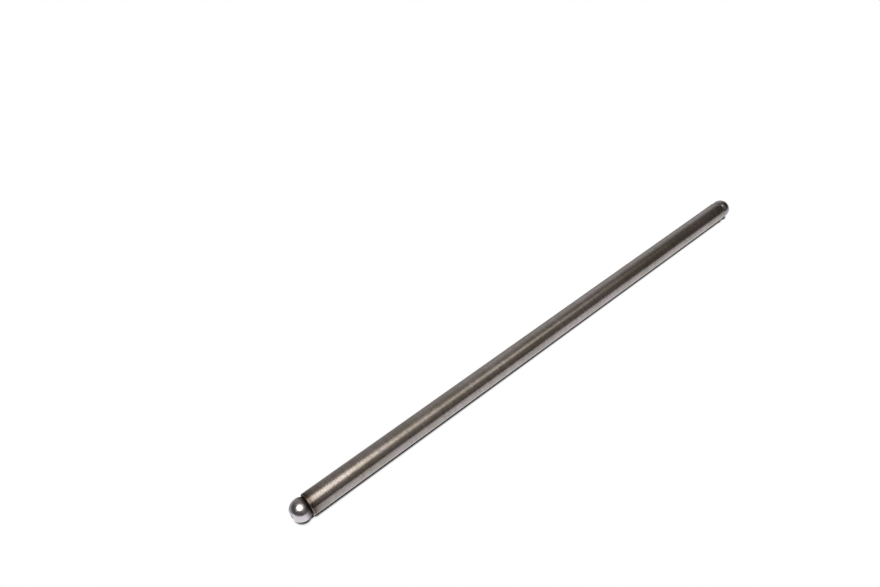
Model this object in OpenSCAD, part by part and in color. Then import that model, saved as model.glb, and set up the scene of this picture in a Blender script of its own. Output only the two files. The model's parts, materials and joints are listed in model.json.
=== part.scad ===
// Engine pushrod: a straight hollow steel tube with a ground ball end pressed into each end.
// The rod lies along X with the middle of its axis at the origin. The lifter end points to -X
// and the rocker end to +X. Oil runs from tip to tip, through both ball ends and the bore.

/* [Tube] */
// Outside diameter of the tube
tube_d = 7.94; // [6.4:0.01:9.2]
// Cut length of the tube, from end face to end face
tube_length = 219.5; // [100:0.5:320]
// Wall thickness of the tube
tube_wall = 1.65; // [1.15:0.05:2.4]
// Chamfer on the outside edge of each end of the tube
tube_chamfer = 0.2; // [0.1:0.05:0.6]
// Lead-in chamfer at each mouth of the bore
bore_chamfer = 0.25; // [0.1:0.05:0.5]

/* [Ball] */
// Diameter of the ground ball
ball_d = 7.75; // [6.5:0.05:9.5]
// Diameter of the flat on the tip of the ball
tip_flat_d = 3.4; // [2.4:0.05:5]
// Length of the turned neck that parts the ball from the end face of the tube
neck_length = 0.1; // [0.05:0.05:2]
// Width of the ring of the neck's shoulder that bears on the tube, out from the wall of the bore
seat_width = 0.9; // [0.6:0.05:1]

/* [Shank] */
// Length of the shank that is pressed into the bore
shank_length = 12; // [5:0.5:30]
// Chamfer on the leading end of the shank
shank_chamfer = 0.5; // [0.2:0.05:1]
// Radial play between the shank and the bore, 0 where the shank is drawn at its pressed size
shank_play = 0; // [0:0.01:0.05]

/* [Oil way] */
// Diameter of the oil hole drilled through each ball end
oil_hole_d = 1.6; // [0.8:0.1:2.8]
// Depth of the countersink where the oil hole meets the tip flat
oil_countersink = 0.2; // [0.05:0.05:0.5]

/* [Hidden] */
$fn = 96;

tube_r = tube_d / 2;
bore_r = tube_r - tube_wall;
ball_r = ball_d / 2;
shoulder_r = bore_r + seat_width;
shank_r = bore_r - shank_play;
oil_hole_r = oil_hole_d / 2;

// Places along a ball end, measured outwards from the end face of the tube
ball_x = neck_length + sqrt(pow(ball_r, 2) - pow(shoulder_r, 2));
tip_x = ball_x + sqrt(pow(ball_r, 2) - pow(tip_flat_d / 2, 2));

// How far a cutting tool runs past the face that it cuts
overrun = 1;

// Round bar along +X from x to x + length, straight or tapered
module bar(x, length, start_r, end_r) {
    translate([x, 0, 0])
        rotate([0, 90, 0])
            cylinder(h = length, r1 = start_r, r2 = end_r);
}

// Taper that opens a hole of radius r at 45 degrees to a face at x that looks towards +X
module countersink(x, r, depth) {
    bar(x - depth, depth + overrun, r, r + depth + overrun);
}

// Straight bar about the origin with both end edges chamfered
module chamfered_bar(r, length, chamfer) {
    bar(chamfer - length / 2, length - 2 * chamfer, r, r);
    for (end = [0, 1])
        mirror([end, 0, 0])
            bar(length / 2 - chamfer, chamfer, r, r - chamfer);
}

// Seamless tube with its ends cut square and chamfered, and its bore open from end to end
module tube() {
    color("#6f675f")
        difference() {
            chamfered_bar(tube_r, tube_length, tube_chamfer);
            bar(-tube_length / 2 - overrun, tube_length + 2 * overrun, bore_r, bore_r);
            for (end = [0, 1])
                mirror([end, 0, 0])
                    countersink(tube_length / 2, bore_r, bore_chamfer);
        }
}

// Ball ground to a sphere, with the flat on its tip and its back cut off inside the neck
module ground_ball() {
    ball_back = neck_length / 2;
    intersection() {
        translate([ball_x, 0, 0]) sphere(r = ball_r);
        bar(ball_back, tip_x - ball_back, ball_d, ball_d);
    }
}

// Hardened ball end turned in one piece, with the end face of the tube at x = 0
module ball_end() {
    color("#9b9b9d")
        difference() {
            union() {
                ground_ball();
                bar(0, ball_x, shoulder_r, shoulder_r);
                bar(shank_chamfer - shank_length, shank_length - shank_chamfer, shank_r, shank_r);
                bar(-shank_length, shank_chamfer, shank_r - shank_chamfer, shank_r);
            }
            bar(-shank_length - overrun, shank_length + tip_x + 2 * overrun, oil_hole_r, oil_hole_r);
            countersink(tip_x, oil_hole_r, oil_countersink);
        }
}

// Ball end that stands in the cup of the lifter
module lifter_ball_end() {
    mirror([1, 0, 0]) rocker_ball_end();
}

// Ball end that works in the cup of the rocker arm
module rocker_ball_end() {
    translate([tube_length / 2, 0, 0]) ball_end();
}

tube();
lifter_ball_end();
rocker_ball_end();
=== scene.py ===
"""Engine pushrod lying on a white table: a ground steel tube with a ball end pressed into each end.

The rod lies along X. Its lifter end, at -X, is the one nearer to the camera.
"""
import json
import math

import bpy
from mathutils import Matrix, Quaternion, Vector


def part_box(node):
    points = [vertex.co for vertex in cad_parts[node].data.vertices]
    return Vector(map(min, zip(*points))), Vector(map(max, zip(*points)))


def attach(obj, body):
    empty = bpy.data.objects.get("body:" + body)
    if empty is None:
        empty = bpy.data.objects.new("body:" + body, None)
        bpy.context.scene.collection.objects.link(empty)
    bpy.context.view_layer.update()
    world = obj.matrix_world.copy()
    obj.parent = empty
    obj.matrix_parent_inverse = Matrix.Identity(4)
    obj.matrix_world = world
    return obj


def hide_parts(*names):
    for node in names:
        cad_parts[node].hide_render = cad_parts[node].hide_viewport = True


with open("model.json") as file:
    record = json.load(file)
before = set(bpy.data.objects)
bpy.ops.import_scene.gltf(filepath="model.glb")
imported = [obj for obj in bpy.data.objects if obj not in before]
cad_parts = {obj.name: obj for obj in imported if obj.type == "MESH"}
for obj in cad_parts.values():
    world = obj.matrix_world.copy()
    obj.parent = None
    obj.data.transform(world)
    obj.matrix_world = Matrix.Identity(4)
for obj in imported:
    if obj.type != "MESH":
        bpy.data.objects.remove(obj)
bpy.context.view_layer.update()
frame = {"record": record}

MM = 0.001

# Sizes of the rod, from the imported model
mounts = {mount["name"]: mount for mount in frame["record"]["mounts"]}
TUBE_R = mounts["tube_shank"]["dims"]["r_mm"] * MM
TUBE_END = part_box("tube")[1].x
BALL_X = mounts["rocker_seat"]["pos_m"][0]
BALL_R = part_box("rocker_ball_end")[1].z
TIP_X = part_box("rocker_ball_end")[1].x
SHANK_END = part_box("rocker_ball_end")[0].x

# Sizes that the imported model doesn't name, repeated from the part's source
TUBE_WALL = 1.65 * MM
TUBE_CHAMFER = 0.2 * MM
BORE_CHAMFER = 0.25 * MM
SEAT_WIDTH = 0.9 * MM
SHANK_CHAMFER = 0.5 * MM
OIL_HOLE_R = 0.8 * MM
OIL_COUNTERSINK = 0.2 * MM
BORE_R = TUBE_R - TUBE_WALL

# Breaks of the sharp edges, larger where handling has worn them
EDGE_BREAK = 0.06 * MM
WORN_BREAK = 0.09 * MM

# Steps of a full turn, of the ball's arc and of an edge break, and lengths that the tube's outside is drawn in
TURN_STEPS = 160
ARC_STEPS = 64
BREAK_STEPS = 3
TUBE_LENGTHS = 52
SMOOTH_ANGLE = math.radians(30)
# Points nearer to each other than this are one point
SAME_PLACE = 0.0001 * MM

# Reach of the brown darkening from the end of the tube, which is left lighter at the very edge as a painted
# glint
BROWN_BAND_LENGTH = 7.5 * MM
# Scale is whole up to the first distance and gone at the second, on each ball from the end of the tube and in
# the oil hole from its wall. On each ball it spreads from the neck over the back of the ball as painted shade.
LIFTER_SCALE_AND_SHADE = (0.6 * MM, 2.9 * MM)
ROCKER_SCALE_AND_SHADE = (0.2 * MM, 0.9 * MM)
HOLE_SCALE = (0.02 * MM, 0.06 * MM)

# Shade on the table: how near the rod is there, how much it is deepened at each ball, and how far before the
# end of the tube that starts at the rocker end
SHADE_REACH = 1.5 * MM
LIFTER_SHADE = 0.07
ROCKER_SHADE = 0.14
ROCKER_SHADE_LEAD = 2.5 * MM
# Distance to each side of the rod over which the table's light changes in the steel
TABLE_FALL = 50 * MM
TABLE_SIZE = 8


# Camera

CAMERA_PLACE = Vector((-144.07, -119.6, 198.96)) * MM
CAMERA_AIM = Vector((-16.92, 44.81, 0)) * MM
CAMERA_ROLL = math.radians(-3.719)
CAMERA_LENS = 28.735
SENSOR_WIDTH = 36


def set_camera():
    """Stands the camera where the photograph was taken from, above the lifter end."""
    data = bpy.data.cameras.new("camera")
    data.sensor_fit = "HORIZONTAL"
    data.sensor_width = SENSOR_WIDTH
    data.lens = CAMERA_LENS
    data.clip_start = 1 * MM
    camera = bpy.data.objects.new("camera", data)
    bpy.context.scene.collection.objects.link(camera)
    camera.location = CAMERA_PLACE
    aim = (CAMERA_AIM - CAMERA_PLACE).to_track_quat("-Z", "Y")
    camera.rotation_mode = "QUATERNION"
    camera.rotation_quaternion = aim @ Quaternion((0, 0, 1), CAMERA_ROLL)
    bpy.context.scene.camera = camera


# Materials

# Sockets of a Mix node that mixes colours
FACTOR, COLOUR_A, COLOUR_B, MIXED = 0, 6, 7, 2


def linear(hex_colour):
    """Linear RGBA of an sRGB hex colour."""
    parts = [int(hex_colour[i:i + 2], 16) / 255 for i in (1, 3, 5)]
    return [p / 12.92 if p <= 0.04045 else ((p + 0.055) / 1.055) ** 2.4 for p in parts] + [1]


def cells(*sizes):
    """Scale of a Mapping node for a pattern with cells of these sizes along X, Y and Z, in millimetres."""
    return [1 / (size * MM) for size in sizes]


def add(tree, kind, inputs=None, stops=(), **settings):
    """Adds a node. Each input takes a value, or a link from a node's first output or from a given output.

    The stops of a colour ramp are pairs of a place and a hex colour, in order.
    """
    node = tree.nodes.new("ShaderNode" + kind)
    for name, value in settings.items():
        setattr(node, name, value)
    for name, value in (inputs or {}).items():
        if isinstance(value, bpy.types.Node):
            value = value.outputs[0]
        if isinstance(value, bpy.types.NodeSocket):
            tree.links.new(value, node.inputs[name])
        else:
            node.inputs[name].default_value = value
    if stops:
        elements = node.color_ramp.elements
        elements[0].position = stops[0][0]
        elements[1].position = stops[-1][0]
        for place, _ in stops[1:-1]:
            elements.new(place)
        for element, (_, colour) in zip(elements, stops):
            element.color = linear(colour)
    return node


def new_material(name):
    """An empty node material: the material, its node tree and its output node."""
    material = bpy.data.materials.new(name)
    material.use_nodes = True
    material.node_tree.nodes.clear()
    return material, material.node_tree, add(material.node_tree, "OutputMaterial")


def ground_tube_steel():
    """Alloy steel tube, heat-treated, then centreless ground: a satin brownish grey.

    Grinding leaves fine rings that draw the light out along the tube, with faint feed bands and a dull
    mottle. The sawn end faces aren't ground and keep the black scale of the heat treatment, which on the
    end faces also stands as painted shade in the gap at each ball. Handling has worn their chamfers bare of
    scale. Next to them the outside is darkened brown, least at the very edge, where that is a painted glint.
    """
    material, tree, output = new_material("ground_tube_steel")
    place = add(tree, "TexCoord").outputs["Object"]
    # The real rings are finer than 0.05 mm. They are drawn 0.3 mm apart, as fine as the picture can show.
    spots = add(tree, "Mapping", {"Vector": place, "Scale": cells(0.3, 7, 7)})
    rings = add(tree, "TexNoise", {"Vector": spots, "Scale": 1.0, "Detail": 2.0, "Roughness": 0.6})
    spots = add(tree, "Mapping", {"Vector": place, "Scale": cells(2.2, 30, 30)})
    bands = add(tree, "TexNoise", {"Vector": spots, "Scale": 1.0, "Detail": 1.0})
    spots = add(tree, "Mapping", {"Vector": place, "Scale": cells(0.5, 0.5, 0.5)})
    mottle = add(tree, "TexNoise", {"Vector": spots, "Scale": 1.0, "Detail": 2.0, "Roughness": 0.55})
    spots = add(tree, "Mapping", {"Vector": place, "Scale": cells(11, 6, 6)})
    patches = add(tree, "TexNoise", {"Vector": spots, "Scale": 1.0, "Detail": 2.0, "Roughness": 0.5})
    tone = 0.0
    for grain, share in ((rings, 0.22), (bands, 0.12), (mottle, 0.48), (patches, 0.18)):
        tone = add(tree, "Math", {0: grain, 1: share, 2: tone}, operation="MULTIPLY_ADD")
    steel = add(tree, "ValToRGB", {"Fac": tone},
                stops=((0.35, "#857f7d"), (0.5, "#a39c9a"), (0.65, "#bfb8b5")))
    hue = add(tree, "ValToRGB", {"Fac": patches}, stops=((0.4, "#fffff9"), (0.6, "#fffcff")))
    colour = add(tree, "Mix", {FACTOR: 1.0, COLOUR_A: steel, COLOUR_B: hue}, data_type="RGBA",
                 blend_type="MULTIPLY").outputs[MIXED]

    # Brown darkening, darkest just behind the edge of the tube, and weaker at the rocker end
    along = add(tree, "SeparateXYZ", {"Vector": place}).outputs["X"]
    end = add(tree, "Math", {0: along}, operation="ABSOLUTE")
    inwards = add(tree, "MapRange", {"Value": end, "From Min": TUBE_END, "From Max": TUBE_END - BROWN_BAND_LENGTH})
    # At the very edge the darkening is less, which paints a glint there
    brown_and_glint = add(tree, "ValToRGB", {"Fac": inwards},
               stops=((0.02, "#bababa"), (0.06, "#e8e8e8"), (0.11, "#e8e8e8"), (0.2, "#c0c0c0"),
                      (0.37, "#909090"), (0.64, "#606060"), (1.0, "#000000")))
    strength = add(tree, "MapRange", {"Value": along, "From Min": -TUBE_END, "From Max": TUBE_END,
                                      "To Min": 1.0, "To Max": 0.35})
    brown_and_glint = add(tree, "Math", {0: brown_and_glint, 1: strength}, operation="MULTIPLY")

    # Scale by distance from the axis: on the end face and in the bore, worn off on the chamfer
    # On the end face this dark scale is also painted shade in the gap at the ball
    across = add(tree, "VectorMath", {0: place, 1: (0, 1, 1)}, operation="MULTIPLY")
    radius = add(tree, "VectorMath", {0: across}, operation="LENGTH").outputs["Value"]
    face_r = TUBE_R - TUBE_CHAMFER
    scale_and_shade = add(tree, "MapRange", {"Value": radius, "From Min": face_r + 0.3 * TUBE_CHAMFER,
                                   "From Max": face_r})
    # Mixes in the brown darkening, whose lighter edge is a painted glint, and the scale with its painted shade
    for mark, shade in ((brown_and_glint, "#4a372d"), (scale_and_shade, "#2a2522")):
        colour = add(tree, "Mix", {FACTOR: mark, COLOUR_A: colour, COLOUR_B: linear(shade)},
                     data_type="RGBA").outputs[MIXED]

    satin = add(tree, "MapRange", {"Value": tone, "From Min": 0.3, "From Max": 0.7,
                                   "To Min": 0.285, "To Max": 0.355})
    roughness = add(tree, "MapRange", {"Value": scale_and_shade, "To Min": satin, "To Max": 0.6})
    relief = add(tree, "Math", {0: rings, 1: mottle}, operation="ADD")
    bump = add(tree, "Bump", {"Height": relief, "Distance": 0.012 * MM, "Strength": 1.0})
    tangent = add(tree, "Tangent", direction_type="RADIAL", axis="X")
    shader = add(tree, "BsdfPrincipled", {"Base Color": colour, "Roughness": roughness, "Normal": bump,
                                          "Tangent": tangent, "Metallic": 1.0, "Anisotropic": 0.45,
                                          "Anisotropic Rotation": 0.25})
    tree.links.new(shader.outputs["BSDF"], output.inputs["Surface"])
    return material


def ground_ball_steel():
    """Bearing steel, hardened and ground to a sphere: neutral grey, nearly a mirror, with a soft haze.

    The neck and the oil hole aren't ground, and keep a dark scale, which spreads from the neck over the back
    of the ball as painted shade, wider at the lifter end. The ball at the rocker end is darkened as painted
    shade.
    """
    material, tree, output = new_material("ground_ball_steel")
    place = add(tree, "TexCoord").outputs["Object"]
    # The real grinding lines are finer than 0.02 mm. They are drawn 0.2 mm apart, as fine as the picture
    # can show.
    spots = add(tree, "Mapping", {"Vector": place, "Scale": cells(0.2, 3, 3)})
    lines = add(tree, "TexNoise", {"Vector": spots, "Scale": 1.0, "Detail": 2.0, "Roughness": 0.6})
    spots = add(tree, "Mapping", {"Vector": place, "Scale": cells(1.6, 1.6, 1.6)})
    smears = add(tree, "TexNoise", {"Vector": spots, "Scale": 1.0, "Detail": 3.0, "Roughness": 0.6})
    tone = 0.0
    for grain, share in ((lines, 0.4), (smears, 0.6)):
        tone = add(tree, "Math", {0: grain, 1: share, 2: tone}, operation="MULTIPLY_ADD")
    colour = add(tree, "ValToRGB", {"Fac": tone}, stops=((0.3, "#c9c2c9"), (0.7, "#dad4da")))

    along = add(tree, "SeparateXYZ", {"Vector": place}).outputs["X"]
    # The ball at the rocker end is mixed halfway to a dark grey: painted shade
    rocker_ball_shade = add(tree, "MapRange", {"Value": along, "From Max": TUBE_END, "To Max": 0.5})
    # Scale on each neck, spread over the back of the ball as painted shade, and scale in the oil hole
    whole, gone = LIFTER_SCALE_AND_SHADE
    lifter = add(tree, "MapRange", {"Value": along, "From Min": -TUBE_END - gone,
                                    "From Max": -TUBE_END - whole}, interpolation_type="SMOOTHSTEP")
    whole, gone = ROCKER_SCALE_AND_SHADE
    rocker = add(tree, "MapRange", {"Value": along, "From Min": TUBE_END + gone,
                                    "From Max": TUBE_END + whole}, interpolation_type="SMOOTHSTEP")
    neck = add(tree, "Math", {0: lifter, 1: rocker}, operation="MINIMUM")
    across = add(tree, "VectorMath", {0: place, 1: (0, 1, 1)}, operation="MULTIPLY")
    radius = add(tree, "VectorMath", {0: across}, operation="LENGTH").outputs["Value"]
    whole, gone = HOLE_SCALE
    hole = add(tree, "MapRange", {"Value": radius, "From Min": OIL_HOLE_R + gone,
                                  "From Max": OIL_HOLE_R + whole})
    scale_and_shade = add(tree, "Math", {0: neck, 1: hole}, operation="MAXIMUM")
    # Painted shade on the rocker ball, then the scale with its painted shade over the back of each ball
    for mark, shade in ((rocker_ball_shade, "#4b4a50"), (scale_and_shade, "#4b4645")):
        colour = add(tree, "Mix", {FACTOR: mark, COLOUR_A: colour, COLOUR_B: linear(shade)},
                     data_type="RGBA").outputs[MIXED]

    haze = add(tree, "MapRange", {"Value": tone, "From Min": 0.3, "From Max": 0.7,
                                  "To Min": 0.2, "To Max": 0.27})
    roughness = add(tree, "MapRange", {"Value": scale_and_shade, "To Min": haze, "To Max": 0.45})
    bump = add(tree, "Bump", {"Height": lines, "Distance": 0.002 * MM, "Strength": 1.0})
    shader = add(tree, "BsdfPrincipled", {"Base Color": colour, "Roughness": roughness, "Normal": bump,
                                          "Metallic": 1.0})
    tree.links.new(shader.outputs["BSDF"], output.inputs["Surface"])
    return material


def white_table():
    """Overexposed white table: plain white to the eye, dark only where the rod touches it.

    The steel shows it white too, next to the rod, and shows how its light falls off: slowly towards the
    camera and sooner behind the rod.
    """
    material, tree, output = new_material("white_table")
    seen = add(tree, "LightPath").outputs
    place = add(tree, "SeparateXYZ", {"Vector": add(tree, "TexCoord").outputs["Object"]}).outputs
    # A ball covers less of the table than the tube does, so its shade is deepened
    lifter = add(tree, "MapRange", {"Value": place["X"], "From Min": -TUBE_END, "From Max": -BALL_X,
                                    "To Max": LIFTER_SHADE})
    rocker = add(tree, "MapRange", {"Value": place["X"], "From Min": TUBE_END - ROCKER_SHADE_LEAD,
                                    "From Max": TUBE_END, "To Max": ROCKER_SHADE})
    ball = add(tree, "Math", {0: lifter, 1: rocker}, operation="MAXIMUM")
    touch = add(tree, "AmbientOcclusion", {"Distance": SHADE_REACH}, samples=16)
    touch = add(tree, "Math", {0: touch.outputs["AO"], 1: ball}, operation="SUBTRACT")
    shade = add(tree, "ValToRGB", {"Fac": touch}, stops=((0.5, "#1c181a"), (0.8, "#ffffff")))
    across = add(tree, "MapRange", {"Value": place["Y"], "From Min": -TABLE_FALL, "From Max": TABLE_FALL})
    mirrored = add(tree, "ValToRGB", {"Fac": across},
                   stops=((0.0, "#e6e6e6"), (0.44, "#ffffff"), (0.55, "#ffffff"), (0.62, "#9a9a9a"),
                          (1.0, "#bcbcbc")))
    tone = add(tree, "Mix", {FACTOR: seen["Is Camera Ray"], COLOUR_A: mirrored, COLOUR_B: shade},
               data_type="RGBA")
    glow = add(tree, "Emission", {"Color": tone.outputs[MIXED], "Strength": 1.0})
    paper = add(tree, "BsdfDiffuse", {"Color": linear("#f4f4f4")})
    direct = add(tree, "Math", {0: seen["Is Camera Ray"], 1: seen["Is Glossy Ray"]}, operation="MAXIMUM")
    direct = add(tree, "Math", {0: direct, 1: seen["Is Transmission Ray"]}, operation="MAXIMUM")
    both = add(tree, "MixShader", {0: direct, 1: paper, 2: glow})
    tree.links.new(both.outputs["Shader"], output.inputs["Surface"])
    return material


# Modelling

def deselect_all():
    """Leaves object mode with nothing selected."""
    if bpy.context.mode != "OBJECT":
        bpy.ops.object.mode_set(mode="OBJECT")
    bpy.ops.object.select_all(action="DESELECT")


def select_places(piece, places):
    """In edit mode, selects the vertices that stand at these places and no others."""
    bpy.ops.mesh.select_all(action="DESELECT")
    bpy.ops.object.mode_set(mode="OBJECT")
    for vertex in piece.data.vertices:
        vertex.select = any((vertex.co - place).length < SAME_PLACE for place in places)
    bpy.ops.object.mode_set(mode="EDIT")


def turned(name, profile, breaks):
    """Draws a closed profile of (x, radius) points, breaks some of its corners and turns it about X.

    The breaks give the corners for each size of break.
    """
    deselect_all()
    bpy.ops.mesh.primitive_plane_add(size=1 * MM)
    piece = bpy.context.active_object
    piece.name = piece.data.name = name
    bpy.ops.object.mode_set(mode="EDIT")
    bpy.ops.mesh.select_mode(type="VERT")
    bpy.ops.mesh.select_all(action="SELECT")
    bpy.ops.mesh.merge(type="CENTER")
    places = [Vector((x, r, 0)) for x, r in profile]
    bpy.ops.transform.translate(value=places[0])
    for here, there in zip(places, places[1:] + places[:1]):
        bpy.ops.mesh.extrude_region_move(TRANSFORM_OT_translate={"value": there - here})
    bpy.ops.mesh.select_all(action="SELECT")
    bpy.ops.mesh.remove_doubles(threshold=SAME_PLACE)
    for size, corners in breaks.items():
        select_places(piece, [Vector((x, r, 0)) for x, r in corners])
        bpy.ops.mesh.bevel(offset=size, segments=BREAK_STEPS, affect="VERTICES")
    bpy.ops.mesh.select_all(action="SELECT")
    bpy.ops.mesh.spin(steps=TURN_STEPS, angle=2 * math.pi, center=(0, 0, 0), axis=(1, 0, 0))
    bpy.ops.mesh.select_all(action="SELECT")
    bpy.ops.mesh.remove_doubles(threshold=SAME_PLACE)
    bpy.ops.mesh.normals_make_consistent(inside=False)
    bpy.ops.object.mode_set(mode="OBJECT")
    bpy.ops.object.shade_smooth_by_angle(angle=SMOOTH_ANGLE)
    return piece


def make_tube():
    """Seamless tube with square chamfered ends and an open bore."""
    straight = TUBE_END - TUBE_CHAMFER
    outside = [(straight - 2 * straight * i / TUBE_LENGTHS, TUBE_R) for i in range(TUBE_LENGTHS + 1)]
    bore_end = TUBE_END - BORE_CHAMFER
    rims = [(-TUBE_END, TUBE_R - TUBE_CHAMFER), (TUBE_END, TUBE_R - TUBE_CHAMFER)]
    mouths = [(-TUBE_END, BORE_R + BORE_CHAMFER), (-bore_end, BORE_R),
              (bore_end, BORE_R), (TUBE_END, BORE_R + BORE_CHAMFER)]
    return turned("tube_turned", outside + rims[:1] + mouths + rims[1:],
                  {EDGE_BREAK: [outside[0], outside[-1]] + mouths, WORN_BREAK: rims})


def make_ball_end():
    """Ball end of the rocker side: shank, shoulder, ground ball, tip flat and oil hole."""
    shoulder_r = BORE_R + SEAT_WIDTH
    flat_r = math.sqrt(BALL_R ** 2 - (TIP_X - BALL_X) ** 2)
    back = math.pi - math.asin(shoulder_r / BALL_R)
    front = math.asin(flat_r / BALL_R)
    angles = [back + (front - back) * i / ARC_STEPS for i in range(ARC_STEPS + 1)]
    ball = [(BALL_X + BALL_R * math.cos(a), BALL_R * math.sin(a)) for a in angles]
    shank = [(SHANK_END, OIL_HOLE_R), (SHANK_END, BORE_R - SHANK_CHAMFER),
             (SHANK_END + SHANK_CHAMFER, BORE_R)]
    shoulder = [(TUBE_END, BORE_R), (TUBE_END, shoulder_r)]
    hole = [(TIP_X, OIL_HOLE_R + OIL_COUNTERSINK), (TIP_X - OIL_COUNTERSINK, OIL_HOLE_R)]
    return turned("rocker_ball_turned", shank + shoulder + ball + hole,
                  {EDGE_BREAK: shank + shoulder + ball[-1:] + hole})


def mirrored_copy(piece, name):
    """Copy of a piece for the other end of the rod."""
    deselect_all()
    piece.select_set(True)
    bpy.context.view_layer.objects.active = piece
    bpy.ops.object.duplicate()
    copy = bpy.context.active_object
    copy.name = copy.data.name = name
    bpy.ops.object.mode_set(mode="EDIT")
    bpy.ops.mesh.select_all(action="SELECT")
    bpy.ops.transform.resize(value=(-1, 1, 1), center_override=(0, 0, 0))
    bpy.ops.mesh.normals_make_consistent(inside=False)
    bpy.ops.object.mode_set(mode="OBJECT")
    return copy


# Room

# Two flat lights hang over the rod: an oval softbox near the lifter end and a dimmer panel at the rocker end.
# A radiance of 1 is white.
LIGHT_COLOUR = "#fffdf2"
LIGHT_HEIGHT = 0.263
SOFTBOX_SIZE = (0.31, 0.28)
SOFTBOX_PLACE = (-0.168, -0.05, LIGHT_HEIGHT)
SOFTBOX_RADIANCE = 2.8
PANEL_SIZE = (0.126, 0.115)
PANEL_PLACE = (0.113, -0.074, LIGHT_HEIGHT)
PANEL_RADIANCE = 1.15


def lay_table():
    """White table under the rod."""
    deselect_all()
    bpy.ops.mesh.primitive_plane_add(size=TABLE_SIZE, location=(0, 0, -TUBE_R))
    table = bpy.context.active_object
    table.name = "table"
    table.data.materials.append(white_table())


def hang_light(name, shape, size, place, radiance):
    """Flat light that faces down, with the power that its size and radiance need."""
    data = bpy.data.lights.new(name, "AREA")
    data.shape = shape
    data.size, data.size_y = size
    area = data.size * data.size_y * (math.pi / 4 if shape == "ELLIPSE" else 1)
    data.energy = radiance * math.pi * area
    data.color = linear(LIGHT_COLOUR)[:3]
    light = bpy.data.objects.new(name, data)
    bpy.context.scene.collection.objects.link(light)
    light.location = place
    light.visible_camera = False


def room():
    """World: a dim room with a pale wall behind the rocker end of the rod, which the steel mirrors.

    Straight past the edge of the table, the eye sees plain white.
    """
    world = bpy.data.worlds.new("room")
    bpy.context.scene.world = world
    world.use_nodes = True
    tree = world.node_tree
    tree.nodes.clear()
    direction = add(tree, "TexCoord").outputs["Generated"]
    along = add(tree, "SeparateXYZ", {"Vector": direction}).outputs["X"]
    # Round the rod: 0 is level and in front of it, 0.5 straight up, 1 level and behind it
    across = add(tree, "VectorMath", {0: direction, 1: (0, 1, 1)}, operation="MULTIPLY")
    across = add(tree, "VectorMath", {0: across}, operation="NORMALIZE")
    depth = add(tree, "SeparateXYZ", {"Vector": across}).outputs["Y"]
    depth = add(tree, "MapRange", {"Value": depth, "From Min": -1.0, "From Max": 1.0})

    # Darker parts of the room: past the rocker end, past the lifter end, and low in front of the rod
    past_rocker = add(tree, "MapRange", {"Value": along, "From Min": 0.5, "From Max": 0.66},
                      interpolation_type="SMOOTHSTEP")
    past_lifter = add(tree, "MapRange", {"Value": along, "From Min": -0.05, "From Max": -0.4})
    low_front = add(tree, "MapRange", {"Value": depth, "From Min": 0.03, "From Max": 0.0})
    # Pale wall, brightest towards its foot
    height = add(tree, "ValToRGB", {"Fac": depth},
                 stops=((0.6, "#000000"), (0.68, "#606060"), (0.8, "#acacac"), (0.885, "#dadada"),
                        (0.955, "#f8f8f8"), (1.0, "#f4f4f4")))
    wall = add(tree, "MapRange", {"Value": along, "From Min": 0.12, "From Max": 0.5},
               interpolation_type="SMOOTHSTEP")
    wall = add(tree, "Math", {0: wall, 1: height}, operation="MULTIPLY")
    seen = add(tree, "LightPath").outputs
    straight = add(tree, "Math", {0: seen["Is Camera Ray"], 1: seen["Is Transmission Ray"]},
                   operation="MAXIMUM")
    colour = linear("#857f76")
    for part, shade in ((past_rocker, "#403c38"), (past_lifter, "#565455"), (low_front, "#24211f"),
                        (wall, "#dadada"), (straight, "#ffffff")):
        colour = add(tree, "Mix", {FACTOR: part, COLOUR_A: colour, COLOUR_B: linear(shade)},
                     data_type="RGBA").outputs[MIXED]
    light = add(tree, "Background", {"Color": colour, "Strength": 1.0})
    add(tree, "OutputWorld", {"Surface": light})


bpy.context.scene.view_settings.view_transform = "Standard"
set_camera()
lay_table()
hang_light("softbox", "ELLIPSE", SOFTBOX_SIZE, SOFTBOX_PLACE, SOFTBOX_RADIANCE)
hang_light("panel", "RECTANGLE", PANEL_SIZE, PANEL_PLACE, PANEL_RADIANCE)
room()
tube_steel = ground_tube_steel()
ball_steel = ground_ball_steel()
tube = make_tube()
rocker_ball = make_ball_end()
lifter_ball = mirrored_copy(rocker_ball, "lifter_ball_turned")
for piece, node, steel, slot in ((tube, "tube", tube_steel, "tube_steel"),
                                 (rocker_ball, "rocker_ball_end", ball_steel, "ball_steel"),
                                 (lifter_ball, "lifter_ball_end", ball_steel, "ball_steel")):
    piece.data.materials.append(steel)
    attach(piece, "root")
    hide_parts(node)
